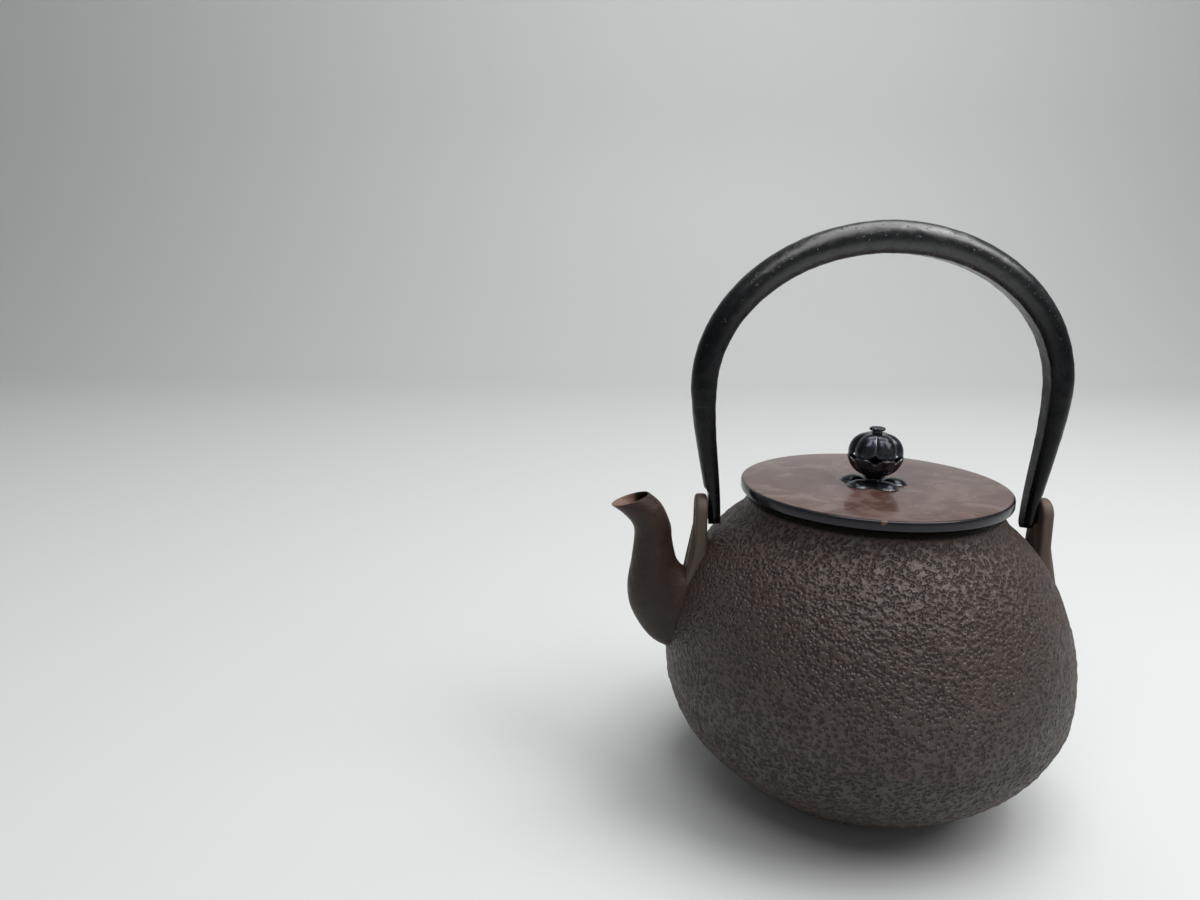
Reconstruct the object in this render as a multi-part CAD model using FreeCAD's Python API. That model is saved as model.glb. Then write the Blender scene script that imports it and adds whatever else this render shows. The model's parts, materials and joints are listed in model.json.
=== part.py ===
import FreeCAD, Part
import math
import os

from FreeCAD import Vector

# A cast iron kettle for boiling water, with a turning bail handle and a loose bronze lid.
# Millimetres. The origin is the centre of the flat base, +Z is up and the spout points to -X.

# Body: a lower and an upper curve that meet upright at the belly
base_radius = 38.0
base_slope = 28.0  # degrees, how steeply the wall leaves the base
base_pull = 31.4  # how long the lower curve keeps that slope
belly_radius = 83.7
belly_height = 57.0
belly_pull_down = 25.5  # how long the lower curve stays upright
belly_pull_up = 20.7  # how long the upper curve stays upright
shoulder_radius = 51.0  # where the shoulder meets the collar of the mouth
shoulder_height = 120.8
shoulder_slope = 26.6  # degrees
shoulder_pull = 24.1
wall = 2.8
collar_rise = 8.15  # from the shoulder to the rim that the lid sits on
collar_fillet = 8.5  # rounding where the shoulder turns up into the collar
mouth_radius = 47.0

# Spout: each station has a front and a back point, as (out past the belly, up from its height)
spout_stations = [
    ((-7.7, 0.5), (-15.7, 36.0)),
    ((5.6, 5.8), (-7.7, 38.0)),
    ((14.5, 17.8), (-4.0, 41.2)),
    ((17.1, 29.5), (-2.4, 45.8)),
    ((15.3, 43.8), (-1.3, 51.2)),
    ((14.7, 55.3), (-0.5, 57.4)),
    ((18.8, 61.2), (3.3, 65.6)),
    ((24.4, 65.3), (8.6, 70.4)),
]
spout_widths = [25.0, 23.0, 21.5, 19.6, 17.0, 15.4, 14.8, 14.6]
spout_wall = 2.2
spout_lip = 1.4  # wall at the mouth of the spout

# Lugs and the pivot of the handle
pivot_half_span = 65.3  # from the middle to the centre of each eye
lug_thickness = 4.8
lug_top_radius = 6.8
lug_rise = 1.5  # centre of the rounded top above the pivot
lug_root_half_width = 8.4
lug_length = 34.0  # from the pivot down into the wall, before it is trimmed
lug_round = 2.2  # rounding of the outer edge
lug_tang = 1.4  # how deep the lug is cast into the wall
peg_radius = 2.4
peg_clearance = 0.05
peg_short = 0.4  # how far the peg stays behind the outer face of the lug
eye_radius = 4.8
eye_thickness = 5.2
eye_side_gap = 0.5  # between the eye and the lug
eye_lift = 2.217  # from the shoulder up to the inner edge of the eye
leg_flat_margin = 1.5  # how far the flat of the leg runs past the top of the lug

# Handle: half an ellipse for the crown, and a leg that leans in to each pivot
crown_rise = 113.0  # centre line at the top, above the pivot
knee_rise = 53.0  # where the handle is widest, above the pivot
knee_half_span = 71.5
knee_pull = 16.7  # how long the leg stays upright below the knee
leg_pull = 15.8  # how long the leg keeps its lean above the pivot
leg_lean = 5.0  # degrees
crown_thickness = 12.9
knee_thickness = 10.3
end_thickness = 5.0
crown_width = 14.4
knee_width = 12.4
end_width = 9.0
flat_share = 0.8  # the flat inner face, as a share of the section's inner radius
handle_wall = 1.5
joint_rise = 22.0  # where the bow meets its solid ends, above the pivot
spigot_length = 8.0
crown_steps = 5
leg_steps = 4

# Lid
lid_radius = 54.0
lid_thickness = 4.0
lid_plate = 2.2  # thickness in the middle
lid_edge = 0.6  # bevel of the rim
seat_gap = 0.05
ring_clearance = 0.6
ring_wall = 1.8
ring_depth = 8.0  # below the rim of the lid

# Knob, on the axis of the lid
rivet_radius = 2.0
rivet_clearance = 0.05
rivet_head_radius = 3.6
rivet_head_height = 1.4
washer_radius = 6.0
washer_thickness = 1.0
petals = 5
petal_radius = 5.2
petal_height = 1.9
petal_ring = 7.9
seat_disc_radius = 4.6
seat_disc_thickness = 1.2
seat_turn = 1.0  # degrees
lobes = 6
lobe_radius = 8.3
lobe_ring = 2.6
knob_centre = 13.0  # above the lid
knob_turn = 43.0  # degrees
knob_shell = 0.9
knob_split = 1.5  # below the centre
window_half = 2.6  # half the width and height of the openings between the lobes
foot_radius = 3.0
cap_neck_radius = 2.2
cap_seat = 7.5  # above the centre of the knob
cap_neck = 2.1
cap_radius = 2.5
cap_petals = 8
cap_petal_radius = 0.95
cap_thickness = 1.2
rivet_tip = 0.8  # how far the rivet goes into the flower of the cap

# Places worked out from the sizes above
mouth_height = shoulder_height + collar_rise
lid_under = mouth_height + seat_gap
lid_top = lid_under + lid_thickness
plate_under = lid_top - lid_plate
ring_radius = mouth_radius - ring_clearance
lug_inner = pivot_half_span + eye_thickness / 2 + eye_side_gap
lug_outer = lug_inner + lug_thickness
flat_rise = lug_rise + lug_top_radius + leg_flat_margin
knob_middle = lid_top + knob_centre
knob_seam = knob_middle - knob_split
cap_base = knob_middle + cap_seat
rivet_hole = rivet_radius + rivet_clearance
far = 400.0  # half the side of a block that is larger than the kettle
level_tolerance = 0.01  # for finding an edge by its height
section_points = 10  # points that carry the round of a swept section
inset_points = 12  # steps along a curve that runs inside another

axis_x = Vector(1, 0, 0)
axis_y = Vector(0, 1, 0)
axis_z = Vector(0, 0, 1)
origin = Vector(0, 0, 0)


def polar(length, degrees):
    """A step in the XZ plane, measured from +X towards +Z."""
    angle = math.radians(degrees)
    return Vector(length * math.cos(angle), 0, length * math.sin(angle))


def bezier(points):
    curve = Part.BezierCurve()
    curve.setPoles(points)
    return curve


def disc(radius, bottom, top):
    """An upright cylinder on the axis of the kettle."""
    return Part.makeCylinder(radius, top - bottom, Vector(0, 0, bottom), axis_z)


def tube(outer, inner, bottom, top):
    return disc(outer, bottom, top).cut(disc(inner, bottom, top))


def block_above(height):
    return Part.makeBox(2 * far, 2 * far, far, Vector(-far, -far, height))


def block_below(height):
    return Part.makeBox(2 * far, 2 * far, far, Vector(-far, -far, height - far))


def half_space(side):
    """The half of space at +X or at -X."""
    return Part.makeBox(far, 2 * far, 2 * far, Vector(0 if side > 0 else -far, -far, -far))


def around(shape, count, start):
    """Copies of a shape turned about the axis, evenly spaced from a start angle."""
    copies = []
    for index in range(count):
        copy = shape.copy()
        copy.rotate(origin, axis_z, start + 360.0 * index / count)
        copies.append(copy)
    return copies


def fuse_all(shapes):
    return shapes[0].multiFuse(shapes[1:])


# Body
def body_curves():
    """The lower and the upper curve of the outer wall, in the XZ plane."""
    base = Vector(base_radius, 0, 0)
    belly = Vector(belly_radius, 0, belly_height)
    shoulder = Vector(shoulder_radius, 0, shoulder_height)
    lower = bezier([base, base + polar(base_pull, base_slope), belly - axis_z * belly_pull_down, belly])
    upper = bezier(
        [belly, belly + axis_z * belly_pull_up, shoulder + polar(shoulder_pull, -shoulder_slope), shoulder]
    )
    return lower, upper


def shoulder_at(radius):
    """Height of the outer wall above the belly, at a distance from the axis."""
    upright = Part.LineSegment(Vector(radius, 0, 0), Vector(radius, 0, far))
    return body_curves()[1].intersectCC(upright)[0].Z


# The pivot stands over the shoulder, so that the eye clears it
pivot_height = shoulder_at(pivot_half_span - eye_thickness / 2) + eye_lift + eye_radius


def inset_curve(curve, inset):
    """A curve that runs inside another at an even distance."""
    points = []
    for index in range(inset_points + 1):
        share = index / inset_points
        along = curve.tangent(share)[0]
        points.append(curve.value(share) + Vector(-along.z, 0, along.x) * inset)
    spline = Part.BSplineCurve()
    spline.interpolate(points)
    return spline


def filled_body(inset):
    """The body without its collar, filled, with its surface moved in."""
    lower, upper = body_curves()
    if inset > 0:
        lower = inset_curve(lower, inset)
        upper = inset_curve(upper, inset)
    first = lower.value(lower.FirstParameter)
    last = upper.value(upper.LastParameter)
    bottom = Vector(0, 0, first.z)
    top = Vector(0, 0, last.z)
    edges = [Part.makeLine(bottom, first), lower.toShape(), upper.toShape()]
    edges += [Part.makeLine(last, top), Part.makeLine(top, bottom)]
    return Part.Face(Part.Wire(edges)).revolve(origin, axis_z, 360)


def is_collar_foot(edge):
    """True for the circle where the shoulder meets the collar."""
    box = edge.BoundBox
    return max(abs(box.ZMin - shoulder_height), abs(box.ZMax - shoulder_height)) < level_tolerance


def kettle_body(fitted):
    """The shell with its collar, cut out for what is cast into it."""
    collar = disc(shoulder_radius, shoulder_height, mouth_height)
    shell = filled_body(0).fuse(collar).removeSplitter()
    collar_foot = [edge for edge in shell.Edges if edge.Closed and is_collar_foot(edge)]
    shell = shell.makeFillet(collar_fillet, collar_foot)
    shell = shell.cut(filled_body(wall)).cut(disc(mouth_radius, belly_height, mouth_height))
    for piece in fitted:
        shell = shell.cut(piece)
    return shell


# Spout
def oval_points(front, back, wide, inset):
    """Points round an oval between a front and a back point, starting and ending at the back."""
    centre = (front + back) * 0.5
    long_way = (back - front) * (0.5 - inset / (front - back).Length)
    wide_way = axis_y * (wide / 2 - inset)
    points = []
    for index in range(2 * section_points + 1):
        angle = math.pi * (index % (2 * section_points)) / section_points
        points.append(centre + long_way * math.cos(angle) + wide_way * math.sin(angle))
    return points


def spout_solid(inset, lip):
    """The spout as one solid, with its surface moved in by a wall that thins to the lip."""
    rows = []
    last = len(spout_stations) - 1
    for index, (front, back) in enumerate(spout_stations):
        front_point = Vector(-belly_radius - front[0], 0, belly_height + front[1])
        back_point = Vector(-belly_radius - back[0], 0, belly_height + back[1])
        thin = lip if index == last else inset
        rows.append(oval_points(front_point, back_point, spout_widths[index], thin))
    skin = Part.BSplineSurface()
    skin.interpolate(rows)
    caps = []
    for row in (skin.uIso(0.0), skin.uIso(1.0)):
        caps.append(Part.Face(Part.Wire(row.toShape())))
    return Part.Solid(Part.Shell([skin.toShape()] + caps))


def spout():
    return spout_solid(0, 0).cut(spout_solid(spout_wall, spout_lip)).cut(filled_body(wall))


# Lugs
def lug(side):
    """One lug, with a pivot hole and a root that follows the wall."""
    top = pivot_height + lug_rise
    foot = pivot_height - lug_length
    left_top = Vector(lug_inner, -lug_top_radius, top)
    right_top = Vector(lug_inner, lug_top_radius, top)
    left_foot = Vector(lug_inner, -lug_root_half_width, foot)
    right_foot = Vector(lug_inner, lug_root_half_width, foot)
    crest = Vector(lug_inner, 0, top + lug_top_radius)
    edges = [
        Part.makeLine(left_foot, left_top),
        Part.Arc(left_top, crest, right_top).toShape(),
        Part.makeLine(right_top, right_foot),
        Part.makeLine(right_foot, left_foot),
    ]
    plate = Part.Face(Part.Wire(edges)).extrude(axis_x * lug_thickness)
    outer_edges = [
        edge for edge in plate.Edges
        if edge.BoundBox.XMin > lug_outer - lug_round and edge.BoundBox.ZMax > pivot_height
    ]
    plate = plate.makeFillet(lug_round, outer_edges)
    hole = Part.makeCylinder(peg_radius + peg_clearance, far, Vector(0, 0, pivot_height), axis_x)
    plate = plate.cut(hole)
    if side < 0:
        plate.rotate(origin, axis_z, 180)
    return plate.cut(filled_body(lug_tang))


# Handle
def rear_stations():
    """Places down the rear half of the handle, as (point, direction, thickness, width)."""
    pivot = Vector(pivot_half_span, 0, pivot_height)
    knee = Vector(knee_half_span, 0, pivot_height + knee_rise)
    crown_height = crown_rise - knee_rise
    stations = []
    for index in range(crown_steps):
        share = index / crown_steps
        angle = math.radians(90 * share)
        place = Vector(knee_half_span * math.sin(angle), 0, knee.z + crown_height * math.cos(angle))
        along = Vector(knee_half_span * math.cos(angle), 0, -crown_height * math.sin(angle))
        thick = crown_thickness + (knee_thickness - crown_thickness) * share
        wide = crown_width + (knee_width - crown_width) * share
        stations.append((place, along, thick, wide))
    leg = bezier([knee, knee - axis_z * knee_pull, pivot + polar(leg_pull, 90 - leg_lean), pivot])
    for index in range(leg_steps + 1):
        share = index / leg_steps
        thick = knee_thickness + (end_thickness - knee_thickness) * share
        wide = knee_width + (end_width - knee_width) * share
        stations.append((leg.value(share), leg.tangent(share)[0], thick, wide))
    return stations


def handle_stations():
    """The whole handle from its front pivot to its rear one."""
    rear = rear_stations()
    front = []
    for place, along, thick, wide in reversed(rear[1:]):
        front.append((Vector(-place.x, 0, place.z), Vector(along.x, 0, -along.z), thick, wide))
    return front + rear


def bow_section(place, along, thick, wide):
    """A round section with a flat on the inside of the bow."""
    direction = Vector(along).normalize()
    outward = Vector(-direction.z, 0, direction.x)
    reach = thick / (1 + flat_share)
    centre = place + outward * (thick / 2 - reach)
    start = -math.asin(flat_share)
    sweep = math.pi - 2 * start
    points = []
    for index in range(section_points + 1):
        angle = start + sweep * index / section_points
        points.append(centre + axis_y * (wide / 2 * math.cos(angle)) + outward * (reach * math.sin(angle)))
    spline = Part.BSplineCurve()
    spline.interpolate(points)
    return Part.Wire([spline.toShape(), Part.makeLine(points[-1], points[0])])


def handle_loft(inset):
    """The bow of the handle as one solid, with its surface moved in."""
    sections = []
    for place, along, thick, wide in handle_stations():
        sections.append(bow_section(place, along, thick - 2 * inset, wide - 2 * inset))
    return Part.makeLoft(sections, True)


def handle_tube():
    joint = pivot_height + joint_rise
    return handle_loft(0).common(block_above(joint)).cut(handle_loft(handle_wall))


def handle_end(side):
    """A solid end: the foot of the leg, flat beside the lug, a spigot up the bow, the eye and the peg."""
    joint = pivot_height + joint_rise
    leg = handle_loft(0).common(block_below(joint)).common(half_space(side))
    spigot = handle_loft(handle_wall).common(block_above(joint)).common(block_below(joint + spigot_length))
    spigot = spigot.common(half_space(side))
    outward = axis_x * side
    pivot = Vector(0, 0, pivot_height)
    inner_face = pivot + outward * (pivot_half_span - eye_thickness / 2)
    eye = Part.makeCylinder(eye_radius, eye_thickness, inner_face, outward)
    centre = pivot + outward * pivot_half_span
    peg = Part.makeCylinder(peg_radius, lug_outer - peg_short - pivot_half_span, centre, outward)
    flat = Part.makeBox(far, 2 * far, far, Vector(0, -far, pivot_height + flat_rise - far))
    flat.translate(axis_x * (pivot_half_span + eye_thickness / 2))
    flat.rotate(origin, axis_z, 0 if side > 0 else 180)
    return fuse_all([leg.cut(flat), spigot, eye, peg]).removeSplitter()


# Lid
def lid_disc():
    plate = disc(lid_radius, lid_under, lid_top)
    plate = plate.makeChamfer(lid_edge, [edge for edge in plate.Edges if edge.Closed])
    return plate.cut(disc(ring_radius, lid_under, plate_under)).cut(disc(rivet_hole, lid_under, lid_top))


def lid_ring():
    return tube(ring_radius, ring_radius - ring_wall, lid_under - ring_depth, plate_under)


# Knob
def knob_rivet():
    """The rod through the knob and the lid, with its head below the washer."""
    head_top = plate_under - washer_thickness
    head = disc(rivet_head_radius, head_top - rivet_head_height, head_top)
    rod = disc(rivet_radius, head_top, cap_base + cap_neck + rivet_tip)
    return head.fuse(rod)


def rivet_washer():
    return tube(washer_radius, rivet_hole, plate_under - washer_thickness, plate_under)


def knob_seat():
    """Round petals, each the cap of a ball, about a thin disc."""
    ball_radius = (petal_radius ** 2 + petal_height ** 2) / (2 * petal_height)
    ball_centre = Vector(petal_ring, 0, lid_top + petal_height - ball_radius)
    petal = Part.makeSphere(ball_radius, ball_centre).common(block_above(lid_top))
    middle = disc(seat_disc_radius, lid_top, lid_top + seat_disc_thickness)
    seat = fuse_all([middle] + around(petal, petals, seat_turn))
    well = disc(foot_radius, lid_top + seat_disc_thickness, lid_top + knob_centre)
    return seat.cut(well).cut(disc(rivet_hole, lid_top, lid_top + knob_centre))


def lobed_solid(inset):
    """Balls in a ring, merged to one lobed fruit."""
    lobe = Part.makeSphere(lobe_radius - inset, Vector(lobe_ring, 0, knob_middle))
    return fuse_all(around(lobe, lobes, knob_turn))


def knob_windows():
    """Diamond openings through the shell, at the seams between the lobes."""
    inner = lobe_ring
    corners = [
        Vector(inner, -window_half, knob_seam),
        Vector(inner, 0, knob_seam + window_half),
        Vector(inner, window_half, knob_seam),
        Vector(inner, 0, knob_seam - window_half),
    ]
    diamond = Part.Face(Part.makePolygon(corners + corners[:1]))
    prism = diamond.extrude(axis_x * (lobe_ring + lobe_radius))
    return around(prism, lobes, knob_turn + 180.0 / lobes)


def knob_shell_whole():
    shell = lobed_solid(0).cut(lobed_solid(knob_shell))
    for window in knob_windows():
        shell = shell.cut(window)
    return shell


def knob_calyx(shell):
    """The lower cup, with the foot that stands on the seat."""
    foot_top = knob_middle - lobe_radius + 2 * knob_shell
    foot = disc(foot_radius, lid_top + seat_disc_thickness, foot_top)
    cup = shell.common(block_below(knob_seam)).fuse(foot).removeSplitter()
    return cup.cut(disc(rivet_hole, lid_top, knob_middle))


def knob_fruit(shell):
    upper = shell.common(block_above(knob_seam))
    upper = upper.cut(disc(cap_neck_radius, cap_base, cap_base + lobe_radius))
    return upper.cut(disc(rivet_hole, knob_middle, cap_base + lobe_radius))


def knob_cap():
    """A small flower on a neck, closed over the tip of the rivet."""
    flower_base = cap_base + cap_neck
    neck = disc(cap_neck_radius, cap_base, flower_base)
    middle = disc(cap_radius, flower_base, flower_base + cap_thickness)
    petal = disc(cap_petal_radius, flower_base, flower_base + cap_thickness)
    petal.translate(axis_x * cap_radius)
    cap = fuse_all([neck, middle] + around(petal, cap_petals, knob_turn)).removeSplitter()
    return cap.cut(disc(rivet_hole, cap_base, flower_base + rivet_tip))


def build():
    """Every node of the kettle, by name."""
    filled_spout = spout_solid(0, 0)
    front_lug = lug(-1).cut(filled_spout)
    rear_lug = lug(1)
    shell = knob_shell_whole()
    return {
        "kettle_body": kettle_body([front_lug, rear_lug, filled_spout]),
        "spout": spout(),
        "front_lug": front_lug,
        "rear_lug": rear_lug,
        "handle_tube": handle_tube(),
        "handle_front_end": handle_end(-1),
        "handle_rear_end": handle_end(1),
        "lid_disc": lid_disc(),
        "lid_ring": lid_ring(),
        "knob_rivet": knob_rivet(),
        "rivet_washer": rivet_washer(),
        "knob_seat": knob_seat(),
        "knob_calyx": knob_calyx(shell),
        "knob_fruit": knob_fruit(shell),
        "knob_cap": knob_cap(),
    }


os.makedirs("parts", exist_ok=True)
for name, shape in build().items():
    shape.exportStep("parts/" + name + ".step")
    box = shape.BoundBox
    print(
        f"{name:17s} solids {len(shape.Solids)} valid {shape.isValid()} volume {shape.Volume:9.1f}"
        f"  x {box.XMin:.2f} {box.XMax:.2f}  y {box.YMin:.2f} {box.YMax:.2f}  z {box.ZMin:.2f} {box.ZMax:.2f}"
    )
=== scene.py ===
import json
import math

import bmesh
import bpy
from bpy.props import FloatProperty, FloatVectorProperty, IntProperty, PointerProperty
from mathutils import Matrix, Vector, noise
from mathutils.geometry import interpolate_bezier


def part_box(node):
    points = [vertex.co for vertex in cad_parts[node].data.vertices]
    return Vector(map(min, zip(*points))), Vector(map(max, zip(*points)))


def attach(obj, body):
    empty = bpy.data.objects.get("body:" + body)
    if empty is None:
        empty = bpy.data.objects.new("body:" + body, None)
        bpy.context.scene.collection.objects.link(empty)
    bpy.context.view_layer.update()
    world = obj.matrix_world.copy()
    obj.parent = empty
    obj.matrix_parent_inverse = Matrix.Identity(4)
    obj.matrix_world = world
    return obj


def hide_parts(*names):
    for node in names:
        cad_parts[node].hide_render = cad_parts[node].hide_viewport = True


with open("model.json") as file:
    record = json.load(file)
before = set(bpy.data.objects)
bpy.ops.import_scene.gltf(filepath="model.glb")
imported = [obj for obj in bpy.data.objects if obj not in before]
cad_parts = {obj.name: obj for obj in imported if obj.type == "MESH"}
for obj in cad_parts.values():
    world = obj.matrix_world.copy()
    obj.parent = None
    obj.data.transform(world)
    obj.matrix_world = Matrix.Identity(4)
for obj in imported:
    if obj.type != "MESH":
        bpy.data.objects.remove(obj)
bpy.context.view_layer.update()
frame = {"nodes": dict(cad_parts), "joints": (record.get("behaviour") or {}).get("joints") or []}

bl_info = {
    "name": "Cast Iron Kettle",
    "version": (1, 0, 0),
    "blender": (4, 5, 0),
    "location": "View3D > Sidebar > Kettle",
    "description": "Builds the finished surfaces of a cast iron kettle over its packed solids",
    "category": "Object",
}

BODY_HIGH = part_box("kettle_body")[1]
LID_LOW, LID_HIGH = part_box("lid_disc")
RING_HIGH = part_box("lid_ring")[1]
SPOUT_LOW, SPOUT_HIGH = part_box("spout")
TUBE_LOW, TUBE_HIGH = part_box("handle_tube")
PIVOT = Vector(next(joint for joint in frame["joints"] if joint["name"] == "handle_fold")["pos_m"])
FULL_TURN = 2 * math.pi
AXIS_Y = Vector((0, 1, 0))
AXIS_Z = Vector((0, 0, 1))


def length(name, words, default):
    """A size that a user can change."""
    return FloatProperty(name=name, description=words, default=default, min=0.0, precision=5, unit="LENGTH")


def ratio(name, words, default):
    """A plain number that a user can change."""
    return FloatProperty(name=name, description=words, default=default)


def count(name, words, default):
    """A number of like things that a user can change."""
    return IntProperty(name=name, description=words, default=default)


def slope(name, words, degrees):
    """A slope that a user can change."""
    return FloatProperty(name=name, description=words, default=math.radians(degrees), subtype="ANGLE")


def colour(name, words, default):
    """A colour that a user can change."""
    return FloatVectorProperty(
        name=name, description=words, default=default + (1,), size=4, min=0.0, max=1.0, subtype="COLOR"
    )


class KettleBodySizes(bpy.types.PropertyGroup):
    base_radius: length("Base radius", "Radius of the flat base", 0.038)
    base_pull: length("Base pull", "How long the wall keeps the slope of the base", 0.0314)
    base_slope: slope("Base slope", "How steeply the wall leaves the base", 28)
    belly_radius: length("Belly radius", "Largest radius of the body", BODY_HIGH[0])
    belly_height: length("Belly height", "Height of the largest radius", 0.057)
    belly_pull_down: length("Belly pull down", "How long the lower wall stays upright", 0.0255)
    belly_pull_up: length("Belly pull up", "How long the upper wall stays upright", 0.0207)
    shoulder_radius: length("Shoulder radius", "Outer radius of the collar", 0.051)
    shoulder_height: length("Shoulder height", "Height at which the collar starts", 0.1208)
    shoulder_pull: length("Shoulder pull", "How long the shoulder keeps its slope", 0.0241)
    shoulder_slope: slope("Shoulder slope", "Slope of the shoulder", 26.6)
    collar_flare: length("Collar flare", "How far out the shoulder starts to turn up to the collar", 0.0065)
    collar_turn: length("Collar turn", "How far up the shoulder has turned into the collar", 0.0055)
    mouth_radius: length("Mouth radius", "Inner radius of the collar", 0.047)
    rim_edge: length("Rim edge", "Rounding of the rim of the collar", 0.0008)
    wall: length("Wall", "Thickness of the casting", 0.0028)
    parting_height: length("Parting height", "Height of the line where the two moulds met", 0.047)
    skin_depth: length("Skin depth", "Depth of the pebbled casting skin", 0.00034)
    skin_cell: length("Skin cell", "Size of one pit of the skin", 0.0016)
    skin_calm: length("Skin calm", "Height under the collar over which the skin gets smooth", 0.008)
    skin_sink: length("Skin sink", "How far the skin lies behind the drawn wall", 0.0004)
    lower_skin: ratio("Lower skin", "Deeper skin below the parting line", 1.35)
    foot_clear: length("Foot clear", "Height of the smooth strip at the base", 0.0015)
    collar_clear: length("Collar clear", "Height of the smooth strip under the collar", 0.0005)
    wave_depth: length("Wave depth", "Height of the slow waves in the wall", 0.00035)
    seam_height: length("Seam height", "Height of the ridge at the parting line", 0.0004)
    seam_width: length("Seam width", "Half the width of that ridge", 0.0011)
    seam_wander: length("Seam wander", "How far that ridge wanders up and down", 0.0006)
    around: count("Around", "Faces round the body", 600)
    rows: count("Rows", "Rows of faces in each half of the wall", 73)


class KettleHandleSizes(bpy.types.PropertyGroup):
    crown_rise: length("Crown rise", "Centre line at the top, above the pivot", 0.113)
    knee_rise: length("Knee rise", "Height of the widest place, above the pivot", 0.053)
    knee_half_span: length("Knee half span", "Half the width of the centre line", 0.0715)
    pivot_half_span: length("Pivot half span", "Half the distance between the eyes", 0.0653)
    knee_pull: length("Knee pull", "How long the leg stays upright", 0.0167)
    leg_pull: length("Leg pull", "How long the leg keeps its lean", 0.0158)
    leg_lean: slope("Leg lean", "Lean of the leg", 5)
    crown_thickness: length("Crown thickness", "Thickness in the plane of the bow, at the top", 0.0129)
    knee_thickness: length("Knee thickness", "The same at the widest place", 0.0103)
    end_thickness: length("End thickness", "The same at the pivot", 0.005)
    crown_width: length("Crown width", "Width across the bow, at the top", 0.0144)
    knee_width: length("Knee width", "The same at the widest place", 0.0124)
    end_width: length("End width", "The same at the pivot", 0.009)
    hammer_depth: length("Hammer depth", "Depth of the hammer marks", 0.00014)
    hammer_fade: length("Hammer fade", "Length over which the marks fade at a joint", 0.012)
    joint_overlap: length("Joint overlap", "How far the sections run past a joint before they are cut", 0.004)
    lug_gap: length("Lug gap", "Between an end and the inner face of its lug", 0.0005)
    lug_clear: length("Lug clear", "How far from the pivot an end keeps that gap", 0.0095)
    peg_radius: length("Peg radius", "Radius of the peg in the lug", 0.0024)
    peg_short: length("Peg short", "How far the peg stays behind the outer face of the lug", 0.0004)


class KettleLugSizes(bpy.types.PropertyGroup):
    inner: length("Inner face", "From the middle of the kettle to the inner face", 0.0684)
    thickness: length("Thickness", "Thickness of the lug", 0.0048)
    top_radius: length("Top radius", "Radius of the rounded top", 0.0068)
    top_rise: length("Top rise", "Centre of the rounded top above the pivot", 0.0015)
    root_half_width: length("Root half width", "Half the width of the root", 0.0084)
    depth: length("Depth", "From the pivot down to the hidden foot", 0.034)
    hole_radius: length("Hole radius", "Radius of the hole for the peg", 0.00245)
    edge: length("Edge", "Rounding of the edges", 0.0013)
    flare_height: length("Flare height", "Where the root starts to flare, below the pivot", 0.009)
    flare_length: length("Flare length", "Height over which the root flares", 0.015)
    flare_out: length("Flare out", "How far the root flares outwards", 0.0026)
    flare_in: length("Flare in", "How far the root flares inwards", 0.0015)


class KettleLidSizes(bpy.types.PropertyGroup):
    edge: length("Edge", "Rounding of the edge of the lid", 0.0007)
    hole: length("Hole", "Radius of the hole for the rivet", 0.00205)


class KettleKnobSizes(bpy.types.PropertyGroup):
    radius: length("Radius", "Radius of the fruit over its lobes", 0.0109)
    half_height: length("Half height", "Half the height of the fruit", 0.0083)
    lobe_ring: length("Lobe ring", "How far each lobe's centre is from the axis", 0.0057)
    centre: length("Centre", "Middle of the fruit above the lid", 0.013)
    split: length("Split", "Seam below the middle", 0.0015)
    window: length("Window", "Half the height of the openings at the seams", 0.0021)
    window_reach: length("Window reach", "Half the width of the openings at the seams", 0.0034)
    fullness: ratio("Fullness", "Below 1 the fruit is fuller than a ball", 0.72)
    top_hole: length("Top hole", "Radius of the hole under the cap", 0.0016)
    dimple_depth: length("Dimple depth", "Depth of the dimple under the cap", 0.0009)
    dimple_width: length("Dimple width", "Radius of that dimple", 0.0028)
    cup_flare: ratio("Cup flare", "How far the cup stands out at its rim", 0.035)
    cup_depth: length("Cup depth", "Depth of the lower cup below the middle", 0.0100)
    foot_radius: length("Foot radius", "Radius of the foot under the cup", 0.0036)
    foot_waist: length("Foot waist", "How far the foot is drawn in", 0.0005)
    wall: length("Wall", "Thickness of the shells", 0.0009)
    # The bright lines at the seams are partly rubbed wear, partly a painted highlight.
    rub: length("Rub", "Half the width of the bright lines at the seams", 0.0005)
    lobes: count("Lobes", "Lobes of the fruit", 6)
    petals: count("Petals", "Petals of the seat", 5)
    petal_ring: length("Petal ring", "How far each petal's centre is from the axis", 0.0083)
    petal_radius: length("Petal radius", "Radius of one petal", 0.0055)
    petal_height: length("Petal height", "Height of one petal", 0.0023)
    seat_hole: length("Seat hole", "Radius of the hole in the seat", 0.0021)
    seat_crown: length("Seat crown", "Height of the middle of the seat", 0.0011)
    seat_crown_radius: length("Seat crown radius", "Radius of the middle of the seat", 0.0058)
    seat_gap: length("Seat gap", "Under the seat", 0.0001)
    seat_sheet: length("Seat sheet", "Height of the seat at its edge", 0.0002)
    cap_radius: length("Cap radius", "Radius of the cap between its petals", 0.0029)
    cap_wave: length("Cap wave", "How far the petals of the cap stand out", 0.0004)
    cap_neck: length("Cap neck", "Radius of the neck of the cap", 0.0018)
    cap_depth: length("Cap depth", "From the top of the cap down to its neck", 0.0018)
    cap_edge: length("Cap edge", "From the top of the cap down to its edge", 0.0010)
    cap_petals: count("Cap petals", "Petals of the cap", 8)


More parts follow.
